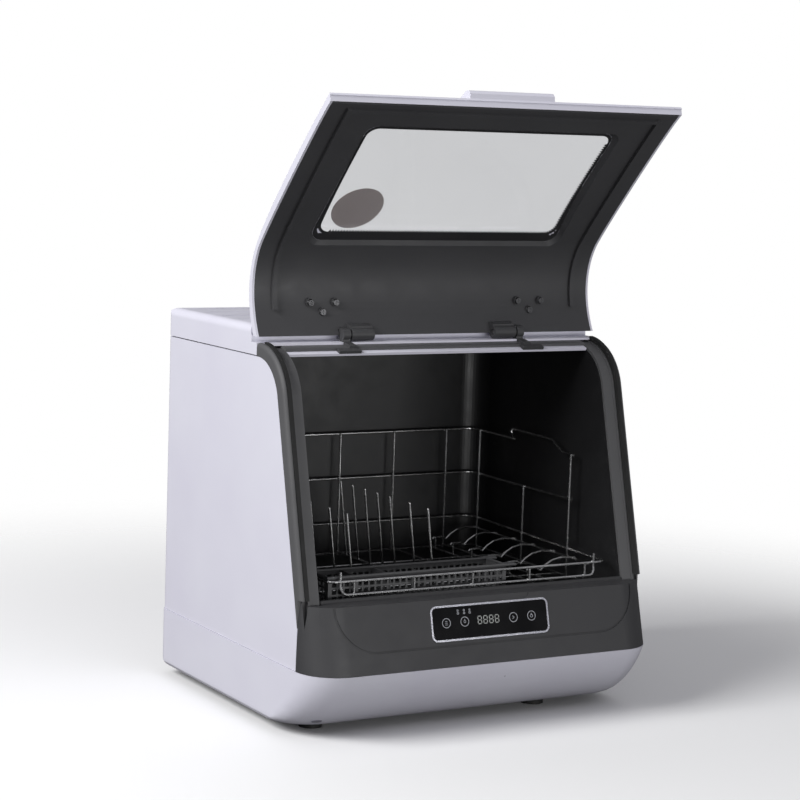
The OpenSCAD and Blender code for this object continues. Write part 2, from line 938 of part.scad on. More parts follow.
// Right side of the basket: three rails, the top one raised as a grip, and three uprights
module basket_side() {
    color(steel)
        union() {
            wire_path(concat(
                [corner_middle(basket_back_y, 1, 166)],
                reverse(corner(basket_back_y, 1, 166, 0, 36)),
                corner(basket_front_y, -1, 161.5, 0, 36),
                [corner_middle(basket_front_y, -1, 161.5)]), rail_d);
            wire_path(concat(
                [corner_middle(basket_back_y, 1, 218.5)],
                reverse(corner(basket_back_y, 1, 218.5, 0, 36)),
                [[basket_x, -66, 218]]), rail_d);
            wire_path(concat(
                [corner_middle(basket_back_y, 1, 270.5)],
                reverse(corner(basket_back_y, 1, 270.5, 0, 36)),
                [[basket_x, 55, 270.2], [basket_x, 64, 277.8], [basket_x, 60, 281.3],
                [basket_x, -23, 280], [basket_x, -43, 269.3], [basket_x, -66.8, 267.5]]), rail_d);
            for (p = [[126.5, 271], [28.5, 219.4], [-65, 269]])
                wire([basket_x - weld, p[0], floor_z - 1], [basket_x - weld, p[0], p[1]], wire_d);
        }
}

module basket_right() {
    basket_side();
}

module basket_left() {
    mirror([1, 0, 0])
        basket_side();
}

// Low front of the basket: a rail, five uprights, and a lower rail that ends in two hooks
module basket_front() {
    hook = [[149.5, basket_front_y, 147.5], [153, basket_front_y, 149],
        [155.2, basket_front_y + 1.2, 152.5], [155.6, basket_front_y + weld + 0.2, 156.5],
        [155.6, basket_front_y + weld + 0.2, 171]];
    color(steel)
        union() {
            end_rail(basket_front_y, -1, 161.5);
            wire_path(concat(reverse(mirrored(hook)), hook), rail_d);
            for (i = [0:4])
                wire([back_x(i) + 11.5, basket_front_y + weld, floor_z - 1],
                    [back_x(i) + 11.5, basket_front_y + weld, 162], wire_d);
        }
}

// Plate rack: two rows of tines that lean a little to the left
module plate_rack() {
    color(steel)
        for (x = [-12, -110])
            union() {
                wire([x, -86, rack_z], [x, 126, rack_z], rail_d);
                for (y = tine_y)
                    wire([x, y, rack_z], [x - 10.4, y, 220], wire_d);
            }
}

// Cup rack: bent wires that rise from a low hook to the right side
module cup_rack() {
    color(steel)
        union() {
            wire([108, -92, rack_z], [108, 128, rack_z], rail_d);
            wire([166.4, -88, 154.6], [166.4, 124, 154.6], wire_d);
            for (i = [0:5]) {
                y = 119 - cup_pitch * i;
                wire([108, y, rack_z], [108, y, 147.4], wire_d);
                wire_path([
                    [104, y, 145.6],
                    [106, y, 147.4],
                    [117, y, 147.6],
                    [122, y, 144.4],
                    [128, y, 150],
                    [137, y, 155],
                    [149, y, 157.4],
                    [167.4, y, 156]], wire_d);
            }
        }
}

// Grid of square holes in a wall
module grid(nx, ny, pitch, hole) {
    for (i = [0:nx - 1])
        for (j = [0:ny - 1])
            translate([i * pitch, j * pitch])
                square([hole, hole]);
}

// Perforated wall of the tray, seen from the front
module tray_wall(length, nx) {
    difference() {
        square([length, 29]);
        translate([(length - nx * 7.4 + 2) / 2, 4.5])
            grid(nx, 3, 7.4, 5.4);
    }
}

// Cutlery tray: perforated walls, slotted floor, dividers and a wire rim with end loops
module cutlery_tray() {
    length = tray_x1 - tray_x0;
    depth = tray_y1 - tray_y0;
    rim_z = tray_z + 29.3;
    color([0.3, 0.3, 0.31])
        union() {
            for (y = [tray_y0 + 1.2, tray_y1])
                translate([tray_x0, y, tray_z])
                    rotate([90, 0, 0])
                        linear_extrude(1.2)
                            tray_wall(length, 28);
            for (x = [tray_x0, tray_x0 + 34, tray_x0 + 72, tray_x1 - 1.2])
                translate([x, tray_y0, tray_z])
                    rotate([90, 0, 90])
                        linear_extrude(1.2)
                            tray_wall(depth, 4);
            translate([tray_x0, tray_y0, tray_z])
                linear_extrude(1.2)
                    difference() {
                        square([length, depth]);
                        translate([5.5, 5])
                            for (i = [0:27])
                                translate([7.4 * i, 0])
                                    for (j = [0:1])
                                        translate([0, 16.5 * j])
                                            square([4.4, 13.5]);
                    }
            for (y = [tray_y0 + 0.6, tray_y1 - 0.6]) {
                wire([tray_x0 - 1.4, y, rim_z], [tray_x1 + 11, y, rim_z], rail_d);
                wire([tray_x1 + 11, y - 1.2, rim_z], [tray_x1 + 11, y + 6.5, rim_z], wire_d);
                wire([tray_x1 + 11, y + 6.5, rim_z], [tray_x1 - 1, y + 6.5, rim_z], wire_d);
            }
            for (x = [tray_x0 + 0.6, tray_x1 - 0.6])
                wire([x, tray_y0, rim_z], [x, tray_y1, rim_z], rail_d);
        }
}

// Prism through the lid around the window, grown by t
module window_prism(t) {
    x = window_x + t;
    on_lid()
        translate([0, 0, -30])
            linear_extrude(60)
                polygon(rounded(-x, window_low - t, x, window_high + t, 12 + t, 12 + t, 10));
}

// Outline of the recess at depth d below the liner, grown by t
function recess_edge(d, t) =
    let (w = recess_x + (window_x - recess_x) * d / 10 + t,
        y0 = recess_low + (window_low - recess_low) * d / 10 - t,
        y1 = recess_high + (window_high - recess_high) * d / 10 + t)
    [for (p = rounded(-w, y0, w, y1, 14, 14, 10)) [p[0], p[1], -d]];

// Tapered recess from the liner down to the window
module recess(t) {
    on_lid()
        loft([recess_edge(-9, t), recess_edge(16, t)]);
}

// Room for the hinge barrels in the lid's lower edge
module barrel_room() {
    both_sides()
        translate([74.4, hinge_y, hinge_z])
            rotate([0, 90, 0])
                cylinder(r = barrel_r + 0.8, h = 38.4, $fn = 64);
}

// White outer shell of the lid with side skirts and a front edge
module lid_shell() {
    color(white)
        difference() {
            union() {
                across(-lid_x, lid_x)
                    polygon(concat(lid_line(0, crown), reverse(lid_line(panel_t, crown))));
                both_sides()
                    across(lid_x - 2.6, lid_x)
                        polygon(lid_outline);
                across(-lid_x, lid_x)
                    intersection() {
                        polygon(lid_outline);
                        polygon([[-190, 640], [-181.6, 648.8], [-176, 662], [-195, 662]]);
                    }
            }
            window_prism(3.4);
            barrel_room();
        }
}

// The liner's layer between depths d0 and d1, as a side view
module liner_layer(d0, d1) {
    polygon(concat(curve(liner_a, liner_b, d0), reverse(curve(liner_a, liner_b, d1))));
}

// Screw places of the two hinges
module hinge_screws() {
    both_sides()
        for (p = [[143.5, 437], [113.5, 437], [129, 427]])
            translate([p[0], 0, p[1]])
                rotate([90, 0, 0])
                    children();
}

// Dark inner liner of the lid with a U-shaped rib and a tapered recess down to the window
module lid_liner() {
    color(charcoal)
        difference() {
            union() {
                intersection() {
                    across(-lid_x + 2.8, lid_x - 2.8)
                        liner_layer(0, -2.3);
                    across(-250, 250)
                        polygon([[-183.4, 640.6], [-181.8, 650], [-150, 650], [60, 500], [60, 403],
                            [-60, 403], [-190, 560], [-195, 640]]);
                }
                intersection() {
                    across(-160, 160)
                        polygon(concat(curve(liner_a, liner_b, -0.2), reverse(lid_line(2.5, crown))));
                    recess(2.3);
                }
                both_sides()
                    across(rib_x - 4.8, rib_x)
                        intersection() {
                            liner_layer(4, -1);
                            polygon([[-184.6, 632.5], [-170, 650], [60, 500], [60, 430], [-60, 430],
                                [-200, 560]]);
                        }
                across(-rib_x, rib_x)
                    intersection() {
                        liner_layer(4, -1);
                        polygon([[-184.6, 632.5], [-174.6, 642.5], [-172, 639.9], [-182, 629.9]]);
                    }
                hinge_screws()
                    translate([0, 0, 26.5])
                        cylinder(r = 4.6, h = 3.2, $fn = 40);
            }
            recess(0);
            barrel_room();
            hinge_screws()
                translate([0, 0, 20])
                    cylinder(r = 2, h = 12, $fn = 32);
        }
}

// Clear pane set flush into the shell
module lid_window() {
    color([0.75, 0.78, 0.8, 0.4])
        intersection() {
            across(-window_x - 8, window_x + 8)
                polygon(concat(lid_line(0.1, crown), reverse(lid_line(2.3, crown))));
            window_prism(3);
        }
}

// Raised grip on the free edge of the lid
module lid_handle() {
    color(white)
        difference() {
            across(-50.4, 50.4)
                polygon([[-183, 653.2], [-182.4, 658], [-180, 660.6], [-176, 661], [-171, 659],
                    [-162, 652], [-156, 646], [-153, 640], [-153, 632], [-159, 628], [-190, 640]]);
            across(-60, 60)
                polygon(concat(lid_line(0, crown), [[-60, 403], [-250, 500], [-250, 652.9]]));
            across(-46, 46)
                polygon(concat(
                    [for (t = [0.29:-0.04:0.09]) cubic_off(lid_a, t, 0.5)],
                    [cubic_off(lid_a, 0.07, -4.4)],
                    [for (t = [0.09:0.04:0.29]) cubic_off(lid_a, t, -grip_room)]));
        }
}

// Hinge barrels that carry the lid
module lid_knuckles() {
    color(charcoal)
        both_sides()
            difference() {
                union() {
                    translate([75, hinge_y, hinge_z])
                        rotate([0, 90, 0])
                            cylinder(r = barrel_r, h = 27, $fn = 64);
                    difference() {
                        across(75, 102)
                            polygon([[-42, 404.3], [-41.6, 412.4], [-36.5, 415], [-31, 415],
                                [-34.6, 404.3]]);
                        across(70, 105)
                            polygon(lid_outline);
                    }
                }
                translate([70, hinge_y, hinge_z])
                    rotate([0, 90, 0])
                        cylinder(r = pin_r + 0.05, h = 40, $fn = 48);
            }
}

// Screws that hold the hinges to the lid
module lid_screws() {
    color(steel)
        hinge_screws()
            translate([0, 0, 29.8])
                difference() {
                    union() {
                        cylinder(r1 = 4, r2 = 3.2, h = 1.8, $fn = 40);
                        translate([0, 0, -4])
                            cylinder(r = 1.9, h = 4.1, $fn = 32);
                    }
                    translate([-2.2, -0.5, 1.1])
                        cube([4.4, 1, 2]);
                    translate([-0.5, -2.2, 1.1])
                        cube([1, 4.4, 2]);
                }
}

base_tray();
feet();
side_housing();
top_cover();
front_frame();
door_gasket();
top_seal_strip();
hinge_brackets();
hinge_pins();
front_panel();
control_bezel();
control_glass();
display_digits();
tub();
basket_rests();
sump();
filter_plate();
wash_pump();
drain_pump();
heater_ring();
inlet_valve();
control_board();
service_panel();
inlet_connector();
drain_spigot();
cable_gland();
spray_arm();
lint_filter();
basket_floor();
basket_back();
basket_right();
basket_left();
basket_front();
plate_rack();
cup_rack();
cutlery_tray();
lid_shell();
lid_liner();
lid_window();
lid_handle();
lid_knuckles();
lid_screws();
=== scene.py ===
"""Looks of a countertop dishwasher with its curved lid open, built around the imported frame."""
import math

import bmesh
import bpy
from mathutils import Matrix, Vector
from mathutils.bvhtree import BVHTree


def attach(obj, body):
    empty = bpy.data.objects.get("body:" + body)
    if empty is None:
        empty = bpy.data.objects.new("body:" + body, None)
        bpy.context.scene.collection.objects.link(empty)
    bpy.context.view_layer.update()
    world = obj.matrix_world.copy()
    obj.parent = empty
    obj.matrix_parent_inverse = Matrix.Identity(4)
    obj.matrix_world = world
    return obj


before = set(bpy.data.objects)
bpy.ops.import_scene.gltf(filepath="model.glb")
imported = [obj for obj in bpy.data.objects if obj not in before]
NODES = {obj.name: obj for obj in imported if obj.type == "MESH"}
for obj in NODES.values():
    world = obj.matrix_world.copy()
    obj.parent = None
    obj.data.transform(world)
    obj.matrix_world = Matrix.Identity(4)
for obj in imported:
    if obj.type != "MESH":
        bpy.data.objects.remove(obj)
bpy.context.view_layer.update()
MM = 0.001


# Camera, light and floor

CAMERA_AZIMUTH = math.radians(-29.91)
CAMERA_ELEVATION = math.radians(6.76)
CAMERA_ROLL = math.radians(1.92)
CAMERA_DISTANCE = 2.466
CAMERA_TARGET = Vector((-0.0228, -0.0142, 0.3290))
CAMERA_LENS = 102.42
CAMERA_SENSOR = 36

# sky that lights the object: its tint, the heights between which it brightens, and its strengths
SKY_TINT = (0.95, 0.95, 1.0, 1)
SKY_RISE = (-0.25, 0.9)
SKY_LOW = 0.16
SKY_HIGH = 0.38

# floor: its tone for the camera and for light thrown back, its gloss, size, edge fade and drop
FLOOR_SEEN = 0.93
FLOOR_BOUNCE = 0.14
FLOOR_ROUGH = 0.7
FLOOR_SPECULAR = 0.2
FLOOR_RADIUS = 1.9
FLOOR_RINGS = 24
FLOOR_TURNS = 96
FLOOR_FADE = (0.45, 1.35)
FLOOR_DROP = 0.0005

LIGHTS = {
    "key_softbox": {"place": (-2.6, -0.3, 1.95), "target": (0, 0, 0.45), "size": (1.8, 1.4), "power": 100},
    "top_softbox": {"place": (0.2, 0.5, 2.3), "target": (0, 0, 0.2), "size": (2.0, 2.0), "power": 2},
    "front_softbox": {"place": (0.1, -2.5, 0.25), "target": (0, 0, 0.15), "size": (2.2, 0.45), "power": 24},
}


def circle(radius, turns):
    """Points around a circle about the origin."""
    return [(radius * math.cos(2 * math.pi * i / turns), radius * math.sin(2 * math.pi * i / turns))
            for i in range(turns)]


def join_loops(bm, one, two):
    """Wall of four-sided faces between two closed loops with the same number of points."""
    n = len(one)
    for i in range(n):
        j = (i + 1) % n
        bm.faces.new((one[i], one[j], two[j], two[i]))


def close_fan(bm, centre, ring):
    """Triangles from a middle point to a closed loop."""
    n = len(ring)
    for i in range(n):
        bm.faces.new((centre, ring[i], ring[(i + 1) % n]))


def frame_matrix(x, y, z, place):
    """Matrix with the three given axes and origin."""
    return Matrix((
        (x.x, y.x, z.x, place.x),
        (x.y, y.y, z.y, place.y),
        (x.z, y.z, z.z, place.z),
        (0, 0, 0, 1),
    ))


def make_camera():
    data = bpy.data.cameras.new("camera")
    data.lens = CAMERA_LENS
    data.sensor_width = CAMERA_SENSOR
    camera = bpy.data.objects.new("camera", data)
    bpy.context.scene.collection.objects.link(camera)
    a, e, r = CAMERA_AZIMUTH, CAMERA_ELEVATION, CAMERA_ROLL
    back = Vector((math.sin(a) * math.cos(e), -math.cos(a) * math.cos(e), math.sin(e)))
    right = Vector((math.cos(a), math.sin(a), 0))
    up = back.cross(right)
    side = right * math.cos(r) + up * math.sin(r)
    top = -right * math.sin(r) + up * math.cos(r)
    camera.matrix_world = frame_matrix(side, top, back, CAMERA_TARGET + back * CAMERA_DISTANCE)
    bpy.context.scene.camera = camera


def area_light(name, place, target, size, power):
    data = bpy.data.lights.new(name, "AREA")
    data.shape = "RECTANGLE"
    data.size, data.size_y = size
    data.energy = power
    light = bpy.data.objects.new(name, data)
    bpy.context.scene.collection.objects.link(light)
    light.location = place
    light.rotation_euler = (Vector(target) - Vector(place)).to_track_quat("-Z", "Y").to_euler()


def either(nodes, links, one, two):
    """1 where either of two ray tests is 1."""
    node = nodes.new("ShaderNodeMath")
    node.operation = "MAXIMUM"
    links.new(one, node.inputs[0])
    links.new(two, node.inputs[1])
    return node.outputs[0]


def make_world():
    """White for the camera and through the pane, and a soft sky for everything else."""
    world = bpy.data.worlds.new("studio")
    bpy.context.scene.world = world
    world.use_nodes = True
    nodes, links = world.node_tree.nodes, world.node_tree.links
    nodes.clear()
    out = nodes.new("ShaderNodeOutputWorld")
    seen = nodes.new("ShaderNodeBackground")
    seen.inputs["Color"].default_value = (1, 1, 1, 1)
    seen.inputs["Strength"].default_value = 1.0
    lit = nodes.new("ShaderNodeBackground")
    lit.inputs["Color"].default_value = SKY_TINT
    coord = nodes.new("ShaderNodeTexCoord")
    split = nodes.new("ShaderNodeSeparateXYZ")
    links.new(coord.outputs["Generated"], split.inputs[0])
    height = spread(nodes, links, split.outputs["Z"], SKY_LOW, SKY_HIGH, *SKY_RISE, "SMOOTHSTEP")
    links.new(height, lit.inputs["Strength"])
    path = nodes.new("ShaderNodeLightPath")
    mix = nodes.new("ShaderNodeMixShader")
    through = either(nodes, links, path.outputs["Is Camera Ray"], path.outputs["Is Transmission Ray"])
    links.new(through, mix.inputs[0])
    links.new(lit.outputs[0], mix.inputs[1])
    links.new(seen.outputs[0], mix.inputs[2])
    links.new(mix.outputs[0], out.inputs["Surface"])


def floor_material():
    """Pale floor that fades out to the white background."""
    mat, nodes, links = new_material("pale_floor")
    bsdf = nodes["Principled BSDF"]
    bsdf.inputs["Roughness"].default_value = FLOOR_ROUGH
    bsdf.inputs["Specular IOR Level"].default_value = FLOOR_SPECULAR
    path = nodes.new("ShaderNodeLightPath")
    bounced = either(nodes, links, path.outputs["Is Diffuse Ray"], path.outputs["Is Glossy Ray"])
    shade = blend_colours(nodes, links, bounced, (FLOOR_SEEN,) * 3, (FLOOR_BOUNCE,) * 3)
    links.new(shade, bsdf.inputs["Base Color"])
    coord = nodes.new("ShaderNodeTexCoord")
    length = nodes.new("ShaderNodeVectorMath")
    length.operation = "LENGTH"
    links.new(coord.outputs["Object"], length.inputs[0])
    fade = spread(nodes, links, length.outputs["Value"], 0.0, 1.0, *FLOOR_FADE, "SMOOTHSTEP")
    clear = nodes.new("ShaderNodeBsdfTransparent")
    mix = nodes.new("ShaderNodeMixShader")
    links.new(fade, mix.inputs[0])
    links.new(bsdf.outputs[0], mix.inputs[1])
    links.new(clear.outputs[0], mix.inputs[2])
    links.new(mix.outputs[0], nodes["Material Output"].inputs["Surface"])
    return mat


def make_floor():
    mesh = bpy.data.meshes.new("floor")
    bm = bmesh.new()
    centre = bm.verts.new((0, 0, 0))
    last = None
    for k in range(1, FLOOR_RINGS + 1):
        ring = [bm.verts.new((x, y, 0)) for x, y in circle(FLOOR_RADIUS * k / FLOOR_RINGS, FLOOR_TURNS)]
        if last is None:
            close_fan(bm, centre, ring)
        else:
            join_loops(bm, ring, last)
        last = ring
    bm.to_mesh(mesh)
    bm.free()
    floor = bpy.data.objects.new("floor", mesh)
    bpy.context.scene.collection.objects.link(floor)
    floor.location.z = -FLOOR_DROP
    mesh.materials.append(floor_material())


# Materials

def new_material(name):
    mat = bpy.data.materials.new(name)
    mat.use_nodes = True
    return mat, mat.node_tree.nodes, mat.node_tree.links


def noise(nodes, links, scale, detail=3.0, rough=0.5, stretch=None):
    coord = nodes.new("ShaderNodeTexCoord")
    tex = nodes.new("ShaderNodeTexNoise")
    tex.inputs["Scale"].default_value = scale
    tex.inputs["Detail"].default_value = detail
    tex.inputs["Roughness"].default_value = rough
    if stretch:
        mapping = nodes.new("ShaderNodeMapping")
        mapping.inputs["Scale"].default_value = stretch
        links.new(coord.outputs["Object"], mapping.inputs["Vector"])
        links.new(mapping.outputs["Vector"], tex.inputs["Vector"])
    else:
        links.new(coord.outputs["Object"], tex.inputs["Vector"])
    return tex.outputs["Fac"]


def spread(nodes, links, source, low, high, start=0.35, end=0.65, kind="LINEAR"):
    """Spreads the values between start and end over low to high."""
    node = nodes.new("ShaderNodeMapRange")
    node.interpolation_type = kind
    node.inputs["From Min"].default_value = start
    node.inputs["From Max"].default_value = end
    node.inputs["To Min"].default_value = low
    node.inputs["To Max"].default_value = high
    links.new(source, node.inputs["Value"])
    return node.outputs["Result"]


def blend_colours(nodes, links, source, one, two):
    node = nodes.new("ShaderNodeMix")
    node.data_type = "RGBA"
    node.inputs[6].default_value = (*one, 1)
    node.inputs[7].default_value = (*two, 1)
    links.new(source, node.inputs[0])
    return node.outputs[2]


def add_bump(nodes, links, bsdf, height, strength, distance):
    bump = nodes.new("ShaderNodeBump")
    bump.inputs["Strength"].default_value = strength
    bump.inputs["Distance"].default_value = distance
    links.new(height, bump.inputs["Height"])
    links.new(bump.outputs["Normal"], bsdf.inputs["Normal"])


def moulded(name, one, two, rough, grain, depth, strength=0.3, specular=0.5, coat=0.0, coat_rough=0.2):
    """Moulded plastic: slow tone changes, a fine grain in its surface, and uneven gloss."""
    mat, nodes, links = new_material(name)
    bsdf = nodes["Principled BSDF"]
    slow = noise(nodes, links, scale=9.0, detail=2.0)
    tone = spread(nodes, links, slow, 0.0, 1.0, start=0.3, end=0.7)
    links.new(blend_colours(nodes, links, tone, one, two), bsdf.inputs["Base Color"])
    patch = noise(nodes, links, scale=38.0, detail=4.0, rough=0.6)
    links.new(spread(nodes, links, patch, *rough), bsdf.inputs["Roughness"])
    fine = noise(nodes, links, scale=grain, detail=2.0, rough=0.6)
    add_bump(nodes, links, bsdf, fine, strength, depth)
    bsdf.inputs["Specular IOR Level"].default_value = specular
    bsdf.inputs["Coat Weight"].default_value = coat
    bsdf.inputs["Coat Roughness"].default_value = coat_rough
    return mat


def metal(name, one, two, rough, grain=900.0, stretch=None):
    """Metal with a drawn or brushed surface and uneven gloss."""
    mat, nodes, links = new_material(name)
    bsdf = nodes["Principled BSDF"]
    bsdf.inputs["Metallic"].default_value = 1.0
    slow = noise(nodes, links, scale=60.0)
    tone = spread(nodes, links, slow, 0.0, 1.0)
    links.new(blend_colours(nodes, links, tone, one, two), bsdf.inputs["Base Color"])
    lines = noise(nodes, links, scale=grain, rough=0.6, stretch=stretch)
    links.new(spread(nodes, links, lines, *rough), bsdf.inputs["Roughness"])
    add_bump(nodes, links, bsdf, lines, strength=0.2, distance=0.00003)
    return mat


def acrylic(name, one, two, rough):
    """Glossy black acrylic with faint wipe marks in its gloss."""
    mat, nodes, links = new_material(name)
    bsdf = nodes["Principled BSDF"]
    slow = noise(nodes, links, scale=30.0, detail=2.0)
    tone = spread(nodes, links, slow, 0.0, 1.0)
    links.new(blend_colours(nodes, links, tone, one, two), bsdf.inputs["Base Color"])
    wipe = noise(nodes, links, scale=120.0, detail=4.0, rough=0.6, stretch=(1.0, 0.2, 0.2))
    links.new(spread(nodes, links, wipe, *rough), bsdf.inputs["Roughness"])
    add_bump(nodes, links, bsdf, wipe, strength=0.03, distance=0.0001)
    bsdf.inputs["IOR"].default_value = 1.49
    bsdf.inputs["Specular IOR Level"].default_value = 0.22
    return mat


def clear_pane(name, one, two, rough):
    """Clear pane with a light smoke tint."""
    mat, nodes, links = new_material(name)
    bsdf = nodes["Principled BSDF"]
    bsdf.inputs["Transmission Weight"].default_value = 1.0
    bsdf.inputs["IOR"].default_value = 1.45
    slow = noise(nodes, links, scale=7.0, detail=2.0)
    tone = spread(nodes, links, slow, 0.0, 1.0, start=0.3, end=0.7)
    links.new(blend_colours(nodes, links, tone, one, two), bsdf.inputs["Base Color"])
    wipe = noise(nodes, links, scale=60.0, detail=4.0, rough=0.6)
    links.new(spread(nodes, links, wipe, *rough), bsdf.inputs["Roughness"])
    return mat


def lit_print(name, colour, glow):
    """Pale print or segments lit from behind, a little uneven."""
    mat, nodes, links = new_material(name)
    bsdf = nodes["Principled BSDF"]
    slow = noise(nodes, links, scale=400.0, detail=2.0)
    tone = spread(nodes, links, slow, 0.0, 1.0)
    dim = tuple(0.8 * c for c in colour)
    shade = blend_colours(nodes, links, tone, dim, colour)
    links.new(shade, bsdf.inputs["Base Color"])
    links.new(shade, bsdf.inputs["Emission Color"])
    bsdf.inputs["Emission Strength"].default_value = glow
    links.new(spread(nodes, links, slow, 0.3, 0.5), bsdf.inputs["Roughness"])
    add_bump(nodes, links, bsdf, slow, strength=0.05, distance=0.00002)
    return mat


def make_materials():
    return {
        "white": moulded("white_plastic", (0.66, 0.65, 0.74), (0.69, 0.685, 0.765), rough=(0.3, 0.42),
                         grain=1300.0, depth=0.00004, strength=0.12, specular=0.45, coat=0.15,
                         coat_rough=0.25),
        "charcoal": moulded("charcoal_plastic", (0.048, 0.048, 0.051), (0.055, 0.055, 0.058),
                            rough=(0.42, 0.55), grain=1700.0, depth=0.00008, strength=0.35, specular=0.4),
        # the front frame's plastic is the charcoal made lighter: painted light for the key light its strips
        # catch
        "frame": moulded("charcoal_painted_light", (0.078, 0.078, 0.081), (0.088, 0.088, 0.091),
                         rough=(0.42, 0.55), grain=1700.0, depth=0.00008, strength=0.35, specular=0.4),
        # the front panel's plastic is the charcoal made darker: painted shade against the front light it
        # gets
        "panel": moulded("charcoal_painted_shade", (0.035, 0.035, 0.0375), (0.041, 0.041, 0.0435),
                         rough=(0.45, 0.58), grain=1700.0, depth=0.00008, strength=0.35, specular=0.35),
        "tub": moulded("tub_plastic", (0.0095, 0.0095, 0.0103), (0.0125, 0.0125, 0.0133),
                       rough=(0.34, 0.46), grain=1200.0, depth=0.00006, strength=0.2, specular=0.4),
        "rubber": moulded("black_rubber", (0.012, 0.012, 0.012), (0.02, 0.02, 0.02),
                          rough=(0.6, 0.8), grain=1500.0, depth=0.0001, strength=0.4, specular=0.3),
        "steel": metal("plain_steel", (0.45, 0.45, 0.46), (0.56, 0.56, 0.57), rough=(0.25, 0.42)),
        "screw": metal("screw_steel", (0.07, 0.07, 0.073), (0.12, 0.12, 0.125), rough=(0.3, 0.45)),
        "mesh_steel": metal("sheet_steel", (0.4, 0.4, 0.41), (0.5, 0.5, 0.51), rough=(0.3, 0.5),
                            grain=700.0, stretch=(1, 12, 1)),
        "wire": metal("drawn_wire", (0.5, 0.5, 0.5), (0.68, 0.68, 0.68), rough=(0.14, 0.3), grain=1500.0),
        "tray": moulded("tray_plastic", (0.05, 0.05, 0.052), (0.075, 0.075, 0.078),
                        rough=(0.35, 0.5), grain=1500.0, depth=0.0001),
        "silver": metal("plated_rim", (0.78, 0.78, 0.86), (0.85, 0.85, 0.92), rough=(0.16, 0.28),
                        grain=1500.0),
        "acrylic": acrylic("black_acrylic", (0.004, 0.004, 0.0045), (0.007, 0.007, 0.0075),
                           rough=(0.07, 0.14)),
        "digits": lit_print("display_segments", (0.32, 0.33, 0.32), glow=0.25),
        "print": lit_print("pale_print", (0.36, 0.37, 0.4), glow=0.2),
        "pane": clear_pane("smoke_pane", (0.64, 0.645, 0.66), (0.67, 0.675, 0.69), rough=(0.03, 0.09)),
        "paper": moulded("label_paper", (0.68, 0.6, 0.57), (0.82, 0.73, 0.7),
                         rough=(0.6, 0.75), grain=300.0, depth=0.0001, specular=0.2),
        "plug": moulded("grey_plug", (0.23, 0.22, 0.27), (0.27, 0.26, 0.31),
                        rough=(0.4, 0.5), grain=900.0, depth=0.00005, strength=0.1),
        "frit": moulded("black_frit", (0.014, 0.014, 0.015), (0.02, 0.02, 0.021),
                        rough=(0.3, 0.4), grain=1800.0, depth=0.00003, strength=0.1),
        "pump": moulded("pump_plastic", (0.035, 0.036, 0.04), (0.05, 0.051, 0.055),
                        rough=(0.4, 0.6), grain=900.0, depth=0.0001, strength=0.4),
        "board": moulded("board_laminate", (0.012, 0.07, 0.025), (0.018, 0.1, 0.035),
                         rough=(0.3, 0.5), grain=800.0, depth=0.0001),
        "valve": moulded("valve_plastic", (0.62, 0.62, 0.58), (0.7, 0.7, 0.66),
                         rough=(0.35, 0.5), grain=900.0, depth=0.0001),
    }


NODE_LOOKS = {
    "white": ("base_tray", "side_housing", "top_cover", "top_seal_strip", "lid_shell", "lid_handle"),
    "charcoal": ("hinge_brackets", "sump", "service_panel", "drain_spigot", "lid_liner",
                 "lid_knuckles"),
    "frame": ("front_frame",),
    "panel": ("front_panel",),
    "tub": ("tub", "basket_rests"),
    "rubber": ("feet", "door_gasket", "cable_gland"),
    "steel": ("hinge_pins", "heater_ring"),
    "screw": ("lid_screws",),
    "mesh_steel": ("filter_plate", "lint_filter"),
    "wire": ("basket_floor", "basket_back", "basket_right", "basket_left", "basket_front",
             "plate_rack", "cup_rack"),
    "tray": ("cutlery_tray",),
    "silver": ("control_bezel",),
    "acrylic": ("control_glass",),
    "digits": ("display_digits",),
    "pane": ("lid_window",),
    "pump": ("wash_pump", "drain_pump", "spray_arm"),
    "board": ("control_board",),
    "valve": ("inlet_valve", "inlet_connector"),
}


def dress_nodes(looks):
    for look, names in NODE_LOOKS.items():
        for name in names:
            mesh = NODES[name].data
            if not mesh.materials:
                mesh.materials.append(looks[look])
            for i in range(len(mesh.materials)):
                mesh.materials[i] = looks[look]


ROUNDED_NODES = ("base_tray", "front_panel", "front_frame", "top_cover", "lid_shell", "lid_liner")
CREASE_ANGLE = math.radians(24)
WELD_DISTANCE = 0.01 * MM


def smooth_curves():
    """Shades the bent faces of moulded nodes smoothly between their creases."""
    for name in ROUNDED_NODES:
        obj = NODES[name]
        for attribute in ("custom_normal", "sharp_edge"):
            if attribute in obj.data.attributes:
                obj.data.attributes.remove(obj.data.attributes[attribute])
        for face in obj.data.polygons:
            face.use_smooth = True
        weld = obj.modifiers.new("weld", "WELD")
        weld.merge_threshold = WELD_DISTANCE
        split = obj.modifiers.new("creases", "EDGE_SPLIT")
        split.split_angle = CREASE_ANGLE
        split.use_edge_sharp = False
        weigh = obj.modifiers.new("flats", "WEIGHTED_NORMAL")
        weigh.mode = "FACE_AREA"


# Helpers of the small pieces

DOME_RINGS = 4
DOME_TURNS = 16
DOME_SINK = 0.05 * MM


def surface_matrix(place, normal, up):
    """Matrix on a surface: Z out of it and Y as near to the given direction as it goes."""
    out = normal.normalized()
    across = up.cross(out).normalized()
    return frame_matrix(across, out.cross(across), out, place)


def add_ring(bm, matrix, x, y, inner, outer, z0, z1, turns):
    """Flat ring around a point of the surface, between two heights over it."""
    loops = []
    for radius, z in ((inner, z0), (inner, z1), (outer, z1), (outer, z0)):
        loops.append([bm.verts.new(matrix @ Vector((x + u, y + v, z))) for u, v in circle(radius, turns)])
    for k in range(4):
        join_loops(bm, loops[k], loops[(k + 1) % 4])


